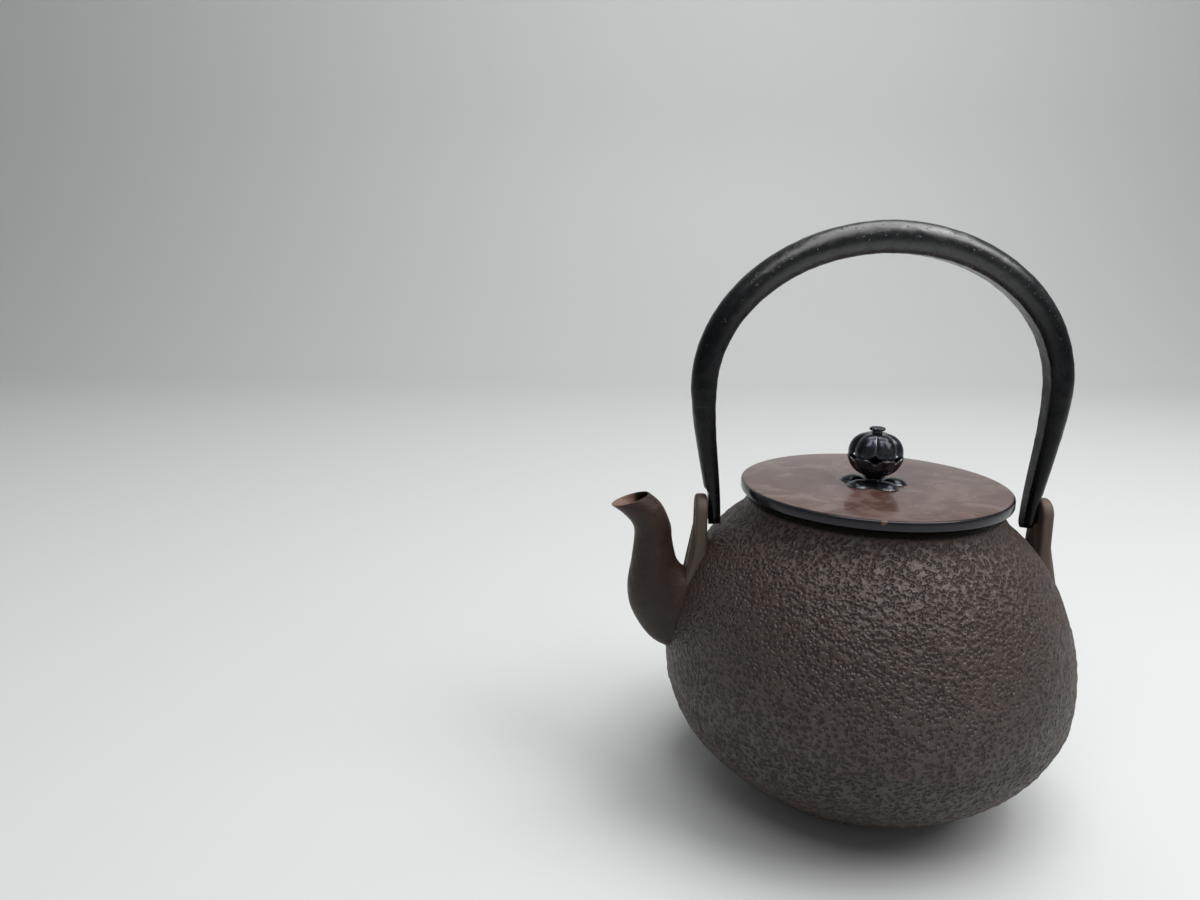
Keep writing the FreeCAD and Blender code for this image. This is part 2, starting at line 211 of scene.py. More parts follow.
class KettleColours(bpy.types.PropertyGroup):
    iron_pit: colour("Iron pits", "Cast iron in the pits of the skin", (0.027, 0.0150, 0.0108))
    iron_skin: colour("Iron skin", "Cast iron on the ridges", (0.047, 0.0250, 0.0172))
    iron_worn: colour("Worn iron", "Rubbed iron on high places", (0.066, 0.044, 0.035))
    iron_rust: colour("Rust", "Warm rust at the lips and seams", (0.110, 0.042, 0.018))
    iron_spout: colour("Spout iron", "Darker iron of the spout", (0.026, 0.0165, 0.0135))
    iron_inside: colour("Inside of the spout", "Pale rust in the mouth of the spout", (0.235, 0.140, 0.104))
    # Soot black for the parting line; the same colour is also the painted shadow on the collar under the lid
    # and the painted shade deep in the spout's mouth.
    soot_and_painted_shade: colour("Soot", "Black of the collar and the parting line", (0.006, 0.005, 0.004))
    forged: colour("Forged iron", "Black forged iron of the handle", (0.0020, 0.0023, 0.0036))
    forged_grey: colour("Rubbed forged iron", "Grey where hands rub the handle", (0.009, 0.0095, 0.012))
    lid_brown: colour("Lid brown", "Dark patina of the lid", (0.088, 0.041, 0.034))
    lid_pale: colour("Lid pale", "Paler clouds in the patina", (0.165, 0.108, 0.094))
    lid_rim: colour("Lid rim", "Black rim of the lid", (0.014, 0.014, 0.018))
    lid_bare: colour("Bare bronze", "Bronze where the rim is chipped", (0.140, 0.080, 0.052))
    knob_black: colour("Knob black", "Blue-black metal of the knob", (0.024, 0.026, 0.032))
    knob_blue: colour("Knob blue", "Bluish sheen in the patina of the knob", (0.075, 0.083, 0.100))
    # Pale metal for the knob's seams and rims: rubbed wear, and at the seams also a painted highlight.
    knob_rub_and_glint: colour("Rubbed knob", "Pale metal at the seams and rims of the knob", (0.300, 0.310, 0.320))
    floor: colour("Floor", "Pale floor and backdrop", (0.675, 0.686, 0.682))


# Meshes
def finish_piece(name, bm, material, body, nodes, sharp=40):
    """Turns a bmesh into a piece that rides on a body and stands for CAD nodes."""
    mesh = bpy.data.meshes.new(name)
    bm.to_mesh(mesh)
    bm.free()
    mesh.materials.append(material)
    mesh.shade_smooth()
    mesh.set_sharp_from_angle(angle=math.radians(sharp))
    piece = bpy.data.objects.new(name, mesh)
    bpy.context.scene.collection.objects.link(piece)
    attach(piece, body)
    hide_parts(*nodes)
    return piece


def dress_node(name, finish):
    """Gives a CAD node a finish and leaves its shape alone."""
    mesh = frame["nodes"][name].data
    mesh.materials.clear()
    mesh.materials.append(finish)


def spin_outline(points, steps):
    """A closed surface made by a full spin of an outline about the upright axis."""
    bm = bmesh.new()
    verts = [bm.verts.new(point) for point in points]
    edges = [bm.edges.new(pair) for pair in zip(verts, verts[1:])]
    bmesh.ops.spin(
        bm, geom=verts + edges, cent=(0, 0, 0), axis=AXIS_Z, angle=FULL_TURN, steps=steps, use_merge=True
    )
    bmesh.ops.remove_doubles(bm, verts=bm.verts, dist=1e-7)
    bmesh.ops.recalc_face_normals(bm, faces=bm.faces)
    return bm


def spin_sheet(rows, steps):
    """A drum with heights from 0 to 1, to be shaped by a formula of its angle and height."""
    return spin_outline([Vector((1, 0, row / rows)) for row in range(rows + 1)], steps)


def reshape(bm, formula):
    """Moves every vertex of a drum to formula(angle, height)."""
    for vert in bm.verts:
        vert.co = formula(math.atan2(vert.co.y, vert.co.x), vert.co.z)
    bmesh.ops.remove_doubles(bm, verts=bm.verts, dist=1e-6)
    bmesh.ops.recalc_face_normals(bm, faces=bm.faces)


def bridge_rings(bm, rings, closed=False):
    """Faces between each ring of edges and the next."""
    pairs = list(zip(rings, rings[1:]))
    if closed:
        pairs.append((rings[-1], rings[0]))
    for ring, following in pairs:
        bmesh.ops.bridge_loops(bm, edges=ring + following)


def ring_of(bm, matrix, sides):
    """A unit circle of edges, placed by a matrix."""
    made = bmesh.ops.create_circle(bm, segments=sides, radius=1.0, matrix=matrix)
    return list({edge for vert in made["verts"] for edge in vert.link_edges})


def placed(centre, first, second, third=None):
    """A matrix that carries the unit circle to an oval with these two half axes."""
    if third is None:
        third = first.cross(second).normalized()
    return Matrix.Translation(centre) @ Matrix((first, second, third)).transposed().to_4x4()


def angle_from(angle, spacing, start):
    """Signed angle to the nearest of evenly spaced directions."""
    return (angle - start + spacing / 2) % spacing - spacing / 2


def step_in(distance, angle):
    """A step in the XZ plane, measured from +X towards +Z."""
    return Vector((distance * math.cos(angle), 0, distance * math.sin(angle)))


# Materials
SKIN_BUMP = 0.00105
LINE_WANDER = 0.0012
LINE_FADE = (0.0002, 0.0006)
LOWER_FADE = (-0.004, 0.002)
# Span of the painted shadow under the lid.
LID_SHADOW_FADE = (-0.0020, -0.0002)
SMOOTH_FADE = (-0.006, 0.0)
SPOUT_BACK = (-0.084, -0.078)
LIP_FADE = (-0.016, -0.004)
# Heights and places of the painted shade in the spout's mouth.
MOUTH_SHADE_FADE = (-0.014, -0.006)
MOUTH_SHADE_FRONT = (0.0085, 0.0115)
SPOUT_DENTS = 0.0006
SPOUT_GRAIN = 0.00022
SCRATCH_PLACE = (TUBE_LOW[0], -0.006, PIVOT.z + 0.046)
SCRATCH_REACH = 0.010
SCRATCH_STRETCH = (40.0, 40.0, 1400.0)
POLISH_FADE = (PIVOT.z + 0.070, TUBE_HIGH[2] - 0.012)
HANDLE_GRAIN = 0.00004
HANDLE_PITS = 0.00016
HANDLE_FACETS = 0.00014
RIM_FADE = (-0.0012, -0.0006)
CHIP_PLACE = (-0.011, -0.0528, LID_HIGH[2])
CHIP_REACH = 0.0035
LID_WAVES = 0.00012
LID_GRAIN = 0.00001
KNOB_GRAIN = 0.000012


class Paint:
    """A material's node tree, with short calls for the nodes that the finishes use."""

    def __init__(self, name):
        self.material = bpy.data.materials.new(name)
        self.material.use_nodes = True
        self.tree = self.material.node_tree
        self.shader = self.tree.nodes["Principled BSDF"]
        self.place = self.node("TexCoord", {})["Object"]

    def link(self, value, socket):
        """Joins an output to a socket, or sets a plain value on it."""
        if isinstance(value, bpy.types.NodeSocket):
            self.tree.links.new(value, socket)
        else:
            socket.default_value = value

    def node(self, kind, inputs, **settings):
        """The outputs of a new node, with its settings made and its inputs joined or set."""
        node = self.tree.nodes.new("ShaderNode" + kind)
        for name, value in settings.items():
            setattr(node, name, value)
        for name, value in inputs.items():
            self.link(value, node.inputs[name])
        return node.outputs

    def stretch(self, scale):
        """Object coordinates with a scale of their own along each axis."""
        return self.node("Mapping", {"Vector": self.place, "Scale": scale})["Vector"]

    def noise(self, scale, detail=3.0, rough=0.5, distortion=0.0, vector=None):
        """Clouds from 0 to 1."""
        inputs = {"Vector": vector or self.place, "Scale": scale, "Detail": detail}
        inputs.update({"Roughness": rough, "Distortion": distortion})
        return self.node("TexNoise", inputs)["Fac"]

    def warped(self, scale, amount):
        """Object coordinates pushed about by a noise, so that cells are irregular."""
        push = self.node("TexNoise", {"Vector": self.place, "Scale": scale})["Color"]
        inputs = {0: push, 1: (amount, amount, amount), 2: self.place}
        return self.node("VectorMath", inputs, operation="MULTIPLY_ADD")["Vector"]

    def cells(self, scale, vector=None, feature="SMOOTH_F1"):
        """Distance to the middle of the nearest cell."""
        inputs = {"Vector": vector or self.place, "Scale": scale}
        return self.node("TexVoronoi", inputs, feature=feature)["Distance"]

    def ramp(self, value, low, high, low_to=0.0, high_to=1.0):
        """A smooth step from one value to another."""
        inputs = {"Value": value, "From Min": low, "From Max": high, "To Min": low_to, "To Max": high_to}
        return self.node("MapRange", inputs, interpolation_type="SMOOTHSTEP")["Result"]

    def fade(self, value, start, span, low_to=0.0, high_to=1.0):
        """The same between two distances from a place."""
        return self.ramp(value, start + span[0], start + span[1], low_to, high_to)

    def math(self, operation, first, second):
        """One step of arithmetic."""
        return self.node("Math", {0: first, 1: second}, operation=operation)["Value"]

    def times(self, first, second):
        """One value times another."""
        return self.math("MULTIPLY", first, second)

    def mix(self, share, first, second):
        """One colour laid over another."""
        return self.node("Mix", {"Factor": share, "A": first, "B": second}, data_type="RGBA")["Result"]

    def part_of_place(self, name):
        """X, Y or Z of the Object coordinates."""
        return self.node("SeparateXYZ", {"Vector": self.place})[name]

    def attribute(self, name):
        """A value kept on the piece's vertices."""
        return self.node("Attribute", {}, attribute_name=name)["Fac"]

    def radius(self):
        """Distance from the upright axis."""
        flat = self.node("VectorMath", {0: self.place, 1: (1, 1, 0)}, operation="MULTIPLY")["Vector"]
        return self.node("VectorMath", {0: flat}, operation="LENGTH")["Value"]

    def near(self, point, reach):
        """1 at a point, falling to 0 at a distance from it."""
        gap = self.node("VectorMath", {0: self.place, 1: point}, operation="DISTANCE")["Value"]
        return self.ramp(gap, 0.0, reach, 1.0, 0.0)

    def bump(self, height, depth, over=None):
        """A normal pressed by a height, over another one if it is given."""
        inputs = {"Strength": 1.0, "Distance": depth, "Height": height}
        if over is not None:
            inputs["Normal"] = over
        return self.node("Bump", inputs)["Normal"]

    def set(self, **values):
        """Sets the shader's sockets by name, with _ for a space."""
        for name, value in values.items():
            self.link(value, self.shader.inputs[name.replace("_", " ")])
        return self.material


def cast_skin(colours, sizes):
    """Brown cast iron with a network of ridges round pits, rougher below the parting line, and a painted
    shadow on the collar under the lid.
    """
    paint = Paint("cast_skin")
    height = paint.part_of_place("Z")
    turn = sizes.shoulder_height + sizes.collar_turn
    parting = sizes.parting_height
    pits = paint.cells(1.0 / sizes.skin_cell, paint.warped(320.0, sizes.skin_cell), "F1")
    pits = paint.ramp(pits, 0.22, 0.66)
    grain = paint.noise(1300.0, 3.0, 0.6)
    swell = paint.noise(330.0, 2.0)
    relief = paint.math("ADD", paint.times(pits, 0.6), paint.times(grain, 0.30))
    relief = paint.math("ADD", relief, paint.times(swell, 0.8))
    shade = paint.mix(paint.ramp(relief, 0.62, 1.02), colours.iron_pit, colours.iron_skin)
    cloud = paint.ramp(paint.noise(22.0, 3.0), 0.35, 0.7)
    worn = paint.times(paint.ramp(relief, 0.9, 1.4), cloud)
    shade = paint.mix(worn, shade, colours.iron_worn)
    rust = paint.times(paint.ramp(paint.noise(55.0, 4.0, 0.65), 0.58, 0.8), 0.3)
    shade = paint.mix(rust, shade, colours.iron_rust)
    wander = paint.ramp(paint.noise(60.0, 3.0), 0.2, 0.8, -LINE_WANDER, LINE_WANDER)
    crack = paint.math("SUBTRACT", paint.math("ADD", height, wander), parting)
    crack = paint.math("ABSOLUTE", crack, 0.0)
    broken = paint.ramp(paint.noise(70.0, 2.0), 0.42, 0.55)
    line = paint.times(paint.ramp(crack, *LINE_FADE, 1.0, 0.0), broken)
    shade = paint.mix(paint.times(line, 0.75), shade, colours.soot_and_painted_shade)
    # Painted shadow under the lid's overhang: the top of the shoulder and the collar are blackened with the
    # soot colour.
    shade = paint.mix(paint.fade(height, turn, LID_SHADOW_FADE), shade, colours.soot_and_painted_shade)
    rough_low = paint.fade(height, parting, LOWER_FADE, 1.9, 1.0)
    strength = paint.times(paint.fade(height, turn, SMOOTH_FADE, 1.0, 0.15), rough_low)
    fine = paint.bump(paint.math("SUBTRACT", paint.times(relief, strength), line), SKIN_BUMP)
    rough = paint.ramp(paint.noise(160.0, 3.0), 0.3, 0.75, 0.42, 0.56)
    # The specular level is lowered in the same painted shadow.
    gloss = paint.fade(height, turn, LID_SHADOW_FADE, 1.0, 0.08)
    gloss = paint.times(gloss, paint.ramp(relief, 0.6, 1.2, 0.48, 0.68))
    return paint.set(Base_Color=shade, Roughness=rough, Normal=fine, Specular_IOR_Level=gloss)


def smooth_iron(colours):
    """Smoother cast iron of the spout and the lugs, with rust at the lip and in the mouth, and painted shade
    deeper in the mouth.
    """
    paint = Paint("smooth_iron")
    height = paint.part_of_place("Z")
    along = paint.part_of_place("X")
    cloud = paint.ramp(paint.noise(70.0, 4.0, 0.6), 0.35, 0.75)
    shade = paint.mix(cloud, colours.iron_skin, colours.iron_worn)
    front = paint.ramp(along, *SPOUT_BACK, 1.0, 0.0)
    shade = paint.mix(paint.times(front, 0.75), shade, colours.iron_spout)
    lip = paint.fade(height, SPOUT_HIGH[2], LIP_FADE)
    spots = paint.ramp(paint.noise(190.0, 4.0, 0.65), 0.44, 0.7)
    rust = paint.times(paint.times(spots, 0.40), paint.times(lip, front))
    shade = paint.mix(rust, shade, colours.iron_rust)
    # Painted shade in the spout's mouth: its inside goes from pale rust near the lip to soot black deeper down
    # and towards the hole at the back.
    depth_shade = paint.fade(height, SPOUT_HIGH[2], MOUTH_SHADE_FADE)
    hole = paint.fade(along, SPOUT_LOW[0], MOUTH_SHADE_FRONT, 1.0, 0.0)
    inner = paint.mix(paint.times(depth_shade, hole), colours.soot_and_painted_shade, colours.iron_inside)
    speckle = paint.times(paint.ramp(paint.noise(800.0, 3.0, 0.6), 0.52, 0.7), 0.35)
    inner = paint.mix(speckle, inner, colours.iron_rust)
    shade = paint.mix(paint.attribute("inside"), shade, inner)
    grain = paint.noise(1100.0, 3.0, 0.6)
    shade = paint.mix(paint.ramp(grain, 0.52, 0.68, 0.0, 0.45), shade, colours.iron_pit)
    normal = paint.bump(paint.noise(170.0, 2.0), SPOUT_DENTS, over=paint.bump(grain, SPOUT_GRAIN))
    rough = paint.ramp(paint.noise(240.0, 3.0), 0.3, 0.75, 0.36, 0.52)
    return paint.set(Base_Color=shade, Roughness=rough, Normal=normal, Specular_IOR_Level=0.28)


def forged_iron(colours):
    """Black forged iron with pits, faint hammer marks, rubbed places and a polished crown."""
    paint = Paint("forged_iron")
    pits = paint.ramp(paint.noise(700.0, 3.0, 0.55), 0.62, 0.75)
    rubbed = paint.ramp(paint.noise(90.0, 4.0, 0.65), 0.5, 0.8)
    shade = paint.mix(rubbed, colours.forged, colours.forged_grey)
    lines = paint.ramp(paint.noise(1.0, 2.0, 0.5, vector=paint.stretch(SCRATCH_STRETCH)), 0.60, 0.68)
    lines = paint.times(lines, paint.near(SCRATCH_PLACE, SCRATCH_REACH))
    shade = paint.mix(paint.times(lines, 0.5), shade, colours.iron_worn)
    normal = paint.bump(paint.noise(1500.0, 3.0, 0.6), HANDLE_GRAIN)
    normal = paint.bump(paint.math("SUBTRACT", 1.0, pits), HANDLE_PITS, over=normal)
    normal = paint.bump(paint.cells(150.0), HANDLE_FACETS, over=normal)
    rough = paint.ramp(paint.noise(320.0, 3.0), 0.3, 0.75, 0.26, 0.38)
    polish = paint.ramp(paint.part_of_place("Z"), *POLISH_FADE, 0.24, 0.85)
    return paint.set(Base_Color=shade, Roughness=rough, Normal=normal, Specular_IOR_Level=polish)


def lid_bronze(colours):
    """Glossy mottled patina on top, with a black rim and a small bare chip."""
    paint = Paint("lid_bronze")
    mottle = paint.noise(42.0, 4.0, 0.6, 1.2)
    shade = paint.mix(paint.ramp(mottle, 0.40, 0.66), colours.lid_brown, colours.lid_pale)
    streaks = paint.ramp(paint.noise(140.0, 3.0, 0.6), 0.55, 0.75)
    shade = paint.mix(paint.times(streaks, 0.25), shade, colours.lid_brown)
    shade = paint.mix(paint.fade(paint.radius(), LID_HIGH[0], RIM_FADE), shade, colours.lid_rim)
    chip = paint.times(paint.near(CHIP_PLACE, CHIP_REACH), paint.noise(500.0, 3.0))
    shade = paint.mix(paint.ramp(chip, 0.30, 0.42), shade, colours.lid_bare)
    normal = paint.bump(paint.noise(900.0, 2.0), LID_GRAIN)
    normal = paint.bump(paint.noise(70.0, 2.0), LID_WAVES, over=normal)
    rough = paint.ramp(mottle, 0.40, 0.66, 0.16, 0.25)
    return paint.set(Base_Color=shade, Roughness=rough, Normal=normal, Specular_IOR_Level=0.35)


def knob_metal(colours):
    """Glossy blue-black metal with a faint patina, pale at seams and rims: rubbed wear, and at the seams also
    a painted highlight along the creases.
    """
    paint = Paint("knob_metal")
    cloud = paint.ramp(paint.noise(320.0, 3.0, 0.6), 0.4, 0.7)
    shade = paint.mix(cloud, colours.knob_black, colours.knob_blue)
    # Pale lines: rubbed wear at the rims, and at the seams also a painted highlight along the creases.
    rubbed = paint.times(paint.attribute("rubbed"), paint.ramp(paint.noise(260.0, 2.0), 0.35, 0.6))
    shade = paint.mix(rubbed, shade, colours.knob_rub_and_glint)
    normal = paint.bump(paint.noise(1800.0, 2.0), KNOB_GRAIN)
    rough = paint.ramp(paint.noise(500.0, 3.0), 0.3, 0.75, 0.18, 0.28)
    return paint.set(Base_Color=shade, Roughness=rough, Normal=normal, Metallic=0.8)


# Body
COLLAR_EASE = 0.7
COLLAR_STEPS = 9
INSIDE_SKIP = 8
PEBBLE_CELLS = 1.6
PEBBLE_RISE = 1.6
WAVE_PITCH = 38.0
WANDER_PITCH = 90.0


def body_curves(sizes):
    """Points up the outer wall from the base to the collar."""
    base = Vector((sizes.base_radius, 0, 0))
    belly = Vector((sizes.belly_radius, 0, sizes.belly_height))
    shoulder = Vector((sizes.shoulder_radius, 0, sizes.shoulder_height))
    lower = interpolate_bezier(
        base, base + step_in(sizes.base_pull, sizes.base_slope), belly - AXIS_Z * sizes.belly_pull_down, belly,
        sizes.rows,
    )
    upper = interpolate_bezier(
        belly, belly + AXIS_Z * sizes.belly_pull_up,
        shoulder + step_in(sizes.shoulder_pull, -sizes.shoulder_slope), shoulder, sizes.rows,
    )
    return lower + upper[1:]


def body_outline(sizes):
    """The whole section of the shell, from the middle of the base to the middle of the floor inside."""
    outer = body_curves(sizes)
    flare = sizes.shoulder_radius + sizes.collar_flare
    wall = outer[:-1]
    outer = [point for point in outer if point.z < sizes.belly_height or point.x > flare]
    along = (outer[-1] - outer[-2]).normalized()
    top = Vector((sizes.shoulder_radius, 0, sizes.shoulder_height + sizes.collar_turn))
    outer += interpolate_bezier(
        outer[-1], outer[-1] + along * (COLLAR_EASE * sizes.collar_flare),
        top - AXIS_Z * (COLLAR_EASE * sizes.collar_turn), top, COLLAR_STEPS,
    )[1:]
    rim = BODY_HIGH[2]
    edge = sizes.rim_edge
    collar = [
        (sizes.shoulder_radius, rim - edge), (sizes.shoulder_radius - edge, rim),
        (sizes.mouth_radius + edge, rim), (sizes.mouth_radius, rim - edge),
    ]
    inner = []
    for index in range(len(wall) - 1, 0, -INSIDE_SKIP):
        along = (wall[index] - wall[index - 1]).normalized()
        inner.append(wall[index] + Vector((-along.z, 0, along.x)) * sizes.wall)
    neck = Vector((sizes.mouth_radius, 0, inner[0].z))
    floor = Vector((0, 0, inner[-1].z))
    start = [Vector((0, 0, 0)), Vector((sizes.base_radius * 0.5, 0, 0))]
    return start + outer + [Vector((x, 0, z)) for x, z in collar] + [neck] + inner + [floor]


def skin_height(point, sizes):
    """Relief of the casting skin at a point, from about -1 to 1."""
    place = point / (PEBBLE_CELLS * sizes.skin_cell)
    near = noise.voronoi(place)[0][0]
    return PEBBLE_RISE * (near - 0.5) + 0.5 * noise.noise(place * 0.7)


def press_skin(bm, sizes):
    """Pushes the outer wall in and out: pebbles, slow waves, and a step at the parting line."""
    bm.normal_update()
    turn = sizes.shoulder_height + sizes.collar_turn
    moves = []
    for vert in bm.verts:
        if vert.normal.dot(Vector((vert.co.x, vert.co.y, 0))) < 0 and vert.co.z > sizes.wall:
            continue
        if vert.co.z < sizes.foot_clear or vert.co.z > turn - sizes.collar_clear:
            continue
        radius = math.hypot(vert.co.x, vert.co.y)
        if radius < sizes.base_radius:
            continue
        calm = min((turn - vert.co.z) / sizes.skin_calm, 1.0)
        lower = vert.co.z < sizes.parting_height
        depth = sizes.skin_depth * calm * (sizes.lower_skin if lower else 1.0)
        wave = noise.noise(vert.co * WAVE_PITCH) * sizes.wave_depth * calm
        gap = vert.co.z - sizes.parting_height - sizes.seam_wander * noise.noise(vert.co * WANDER_PITCH)
        seam = sizes.seam_height * math.exp(-(gap / sizes.seam_width) ** 2)
        lift = depth * skin_height(vert.co, sizes) + wave + seam - sizes.skin_sink * calm
        moves.append((vert, vert.normal * lift))
    for vert, move in moves:
        vert.co += move


class KETTLE_OT_body(bpy.types.Operator):
    """Make the cast shell with its pebbled skin"""

    bl_idname = "kettle.body"
    bl_label = "Body"

    def execute(self, context):
        sizes = context.scene.kettle_body
        bm = spin_outline(body_outline(sizes), sizes.around)
        press_skin(bm, sizes)
        skin = cast_skin(context.scene.kettle_colours, sizes)
        finish_piece("kettle_body_cast", bm, skin, "kettle", ["kettle_body"], sharp=60)
        return {"FINISHED"}


# Spout
SPOUT_STATIONS = (
    ((-0.0077, 0.0005), (-0.0157, 0.0360), 0.0250),
    ((0.0056, 0.0058), (-0.0077, 0.0380), 0.0230),
    ((0.0145, 0.0178), (-0.0040, 0.0412), 0.0215),
    ((0.0171, 0.0295), (-0.0024, 0.0458), 0.0196),
    ((0.0153, 0.0438), (-0.0013, 0.0512), 0.0170),
    ((0.0147, 0.0553), (-0.0005, 0.0574), 0.0154),
    ((0.0188, 0.0612), (0.0033, 0.0656), 0.0148),
    ((0.0244, 0.0653), (0.0086, 0.0704), 0.0146),
)
SPOUT_WALL = 0.0022
SPOUT_LIP = 0.0007
LIP_EDGE = 0.4 * SPOUT_LIP
SPOUT_SIDES = 64
SPOUT_STEPS = 6


def smooth_between(before, first, second, after, share):
    """A curve through four values, between the middle two."""
    return 0.5 * (
        2 * first + (second - before) * share
        + (2 * before - 5 * first + 4 * second - after) * share ** 2
        + (3 * first - before - 3 * second + after) * share ** 3
    )


def spout_places(sizes):
    """Front point, back point and width along the spout, from the root to the mouth."""
    known = []
    for front, back, wide in SPOUT_STATIONS:
        row = [-sizes.belly_radius - front[0], sizes.belly_height + front[1]]
        row += [-sizes.belly_radius - back[0], sizes.belly_height + back[1], wide]
        known.append(row)
    known = [known[0]] + known + [known[-1]]
    places = []
    for index in range(1, len(known) - 2):
        for step in range(SPOUT_STEPS):
            four = zip(*known[index - 1:index + 3])
            places.append([smooth_between(*values, step / SPOUT_STEPS) for values in four])
    places.append(known[-1])
    return places[SPOUT_STEPS // 2:]


def spout_rings(bm, places, inset, lip, mark):
    """Ovals along the spout, each marked as on the outside or the inside."""
    layer = bm.verts.layers.float["inside"]
    rings = []
    for index, (front_x, front_z, back_x, back_z, wide) in enumerate(places):
        front = Vector((front_x, 0, front_z))
        back = Vector((back_x, 0, back_z))
        share = max(0.0, (index - len(places) + 1 + 2 * SPOUT_STEPS) / (2 * SPOUT_STEPS))
        thin = inset + (lip - inset) * share
        half = (back - front) / 2
        half = half * (1 - thin / half.length)
        matrix = placed((front + back) / 2, half, AXIS_Y * (wide / 2 - thin))
        ring = ring_of(bm, matrix, SPOUT_SIDES)
        for edge in ring:
            for vert in edge.verts:
                vert[layer] = mark
        rings.append(ring)
    return rings


class KETTLE_OT_spout(bpy.types.Operator):
    """Make the spout as an open tube with a thin rounded lip"""

    bl_idname = "kettle.spout"
    bl_label = "Spout"

    def execute(self, context):
        places = spout_places(context.scene.kettle_body)
        bm = bmesh.new()
        bm.verts.layers.float.new("inside")
        outer = spout_rings(bm, places, 0.0, 0.0, 0.0)
        inner = spout_rings(bm, places, SPOUT_WALL, SPOUT_LIP, 1.0)
        lip = outer[-1] + inner[-1]
        bridge_rings(bm, outer + inner[::-1], closed=True)
        bmesh.ops.recalc_face_normals(bm, faces=bm.faces)
        bmesh.ops.bevel(
            bm, geom=lip, offset=LIP_EDGE, affect="EDGES", segments=3, profile=0.5, material=-1
        )
        iron = smooth_iron(context.scene.kettle_colours)
        finish_piece("spout_cast", bm, iron, "kettle", ["spout"], sharp=60)
        return {"FINISHED"}


# Lugs
LUG_POINTS = 96
SIDE_TURN = math.radians(70)
FLARE_END = 1.2


def lug_outline(across, up, sizes):
    """A point of the arch from one of the unit circle: a round top, straight sides and a flat foot."""
    top = PIVOT.z + sizes.top_rise
    if up >= 0:
        return across * sizes.top_radius, top + up * sizes.top_radius
    foot = PIVOT.z - sizes.depth
    turn = math.asin(min(-up, 1.0))
    side = math.copysign(1.0, across)
    if turn < SIDE_TURN:
        share = turn / SIDE_TURN
        half = sizes.top_radius + (sizes.root_half_width - sizes.top_radius) * share
        return side * half, top + (foot - top) * share
    return side * sizes.root_half_width * (math.pi / 2 - turn) / (math.pi / 2 - SIDE_TURN), foot


def lug_mesh(side, sizes):
    """An arch with a hole for the peg, rounded edges and a flared root, on the front or the rear side."""
    bm = bmesh.new()
    face = Matrix.Translation((sizes.inner, 0, 0)) @ Matrix.Rotation(math.pi / 2, 4, "Y")
    arch = bmesh.ops.create_circle(bm, segments=LUG_POINTS, radius=1.0, matrix=face)["verts"]
    for vert in arch:
        vert.co.y, vert.co.z = lug_outline(vert.co.y, vert.co.z, sizes)
    hole = Matrix.Translation((0, 0, PIVOT.z)) @ face @ Matrix.Scale(sizes.hole_radius, 4)
    rings = [list({edge for vert in arch for edge in vert.link_edges}), ring_of(bm, hole, LUG_POINTS)]
    bridge_rings(bm, rings)
    grown = bmesh.ops.extrude_face_region(bm, geom=bm.faces[:])["geom"]
    moved = [item for item in grown if isinstance(item, bmesh.types.BMVert)]
    bmesh.ops.translate(bm, vec=(sizes.thickness, 0, 0), verts=moved)
    rims = [
        edge for edge in bm.edges
        if abs(edge.verts[0].co.x - edge.verts[1].co.x) < 1e-6
        and all((vert.co.yz - Vector((0, PIVOT.z))).length > 2 * sizes.hole_radius for vert in edge.verts)
    ]
    bmesh.ops.recalc_face_normals(bm, faces=bm.faces)
    bmesh.ops.bevel(
        bm, geom=rims, offset=sizes.edge, affect="EDGES", segments=4, profile=0.5, material=-1,
        clamp_overlap=True,
    )
    middle = sizes.inner + sizes.thickness / 2
    for vert in bm.verts:
        share = (PIVOT.z - sizes.flare_height - vert.co.z) / sizes.flare_length
        push = min(max(share, 0.0), FLARE_END) ** 2
        reach = (vert.co.x - middle) / (sizes.thickness / 2)
        vert.co.x += push * reach * (sizes.flare_out if reach > 0 else sizes.flare_in)
    if side < 0:
        bmesh.ops.rotate(bm, cent=(0, 0, 0), matrix=Matrix.Rotation(math.pi, 3, "Z"), verts=bm.verts)
    return bm


class KETTLE_OT_lugs(bpy.types.Operator):
    """Make the two lugs that hold the handle"""

    bl_idname = "kettle.lugs"
    bl_label = "Lugs"

    def execute(self, context):
        sizes = context.scene.kettle_lugs
        iron = bpy.data.materials["smooth_iron"]
        for node, side in (("front_lug", -1), ("rear_lug", 1)):
            bm = lug_mesh(side, sizes)
            finish_piece(node + "_cast", bm, iron, "kettle", [node], sharp=40)
        return {"FINISHED"}


# Handle
FLAT_SHARE = 0.8
KNEE_SHARE = 0.66
BOW_SIDES = 56
BOW_STEPS = 150
END_STEPS = 12
PEG_SIDES = 40
HAMMER_PITCH = 130.0
DENT_PITCH = 60.0


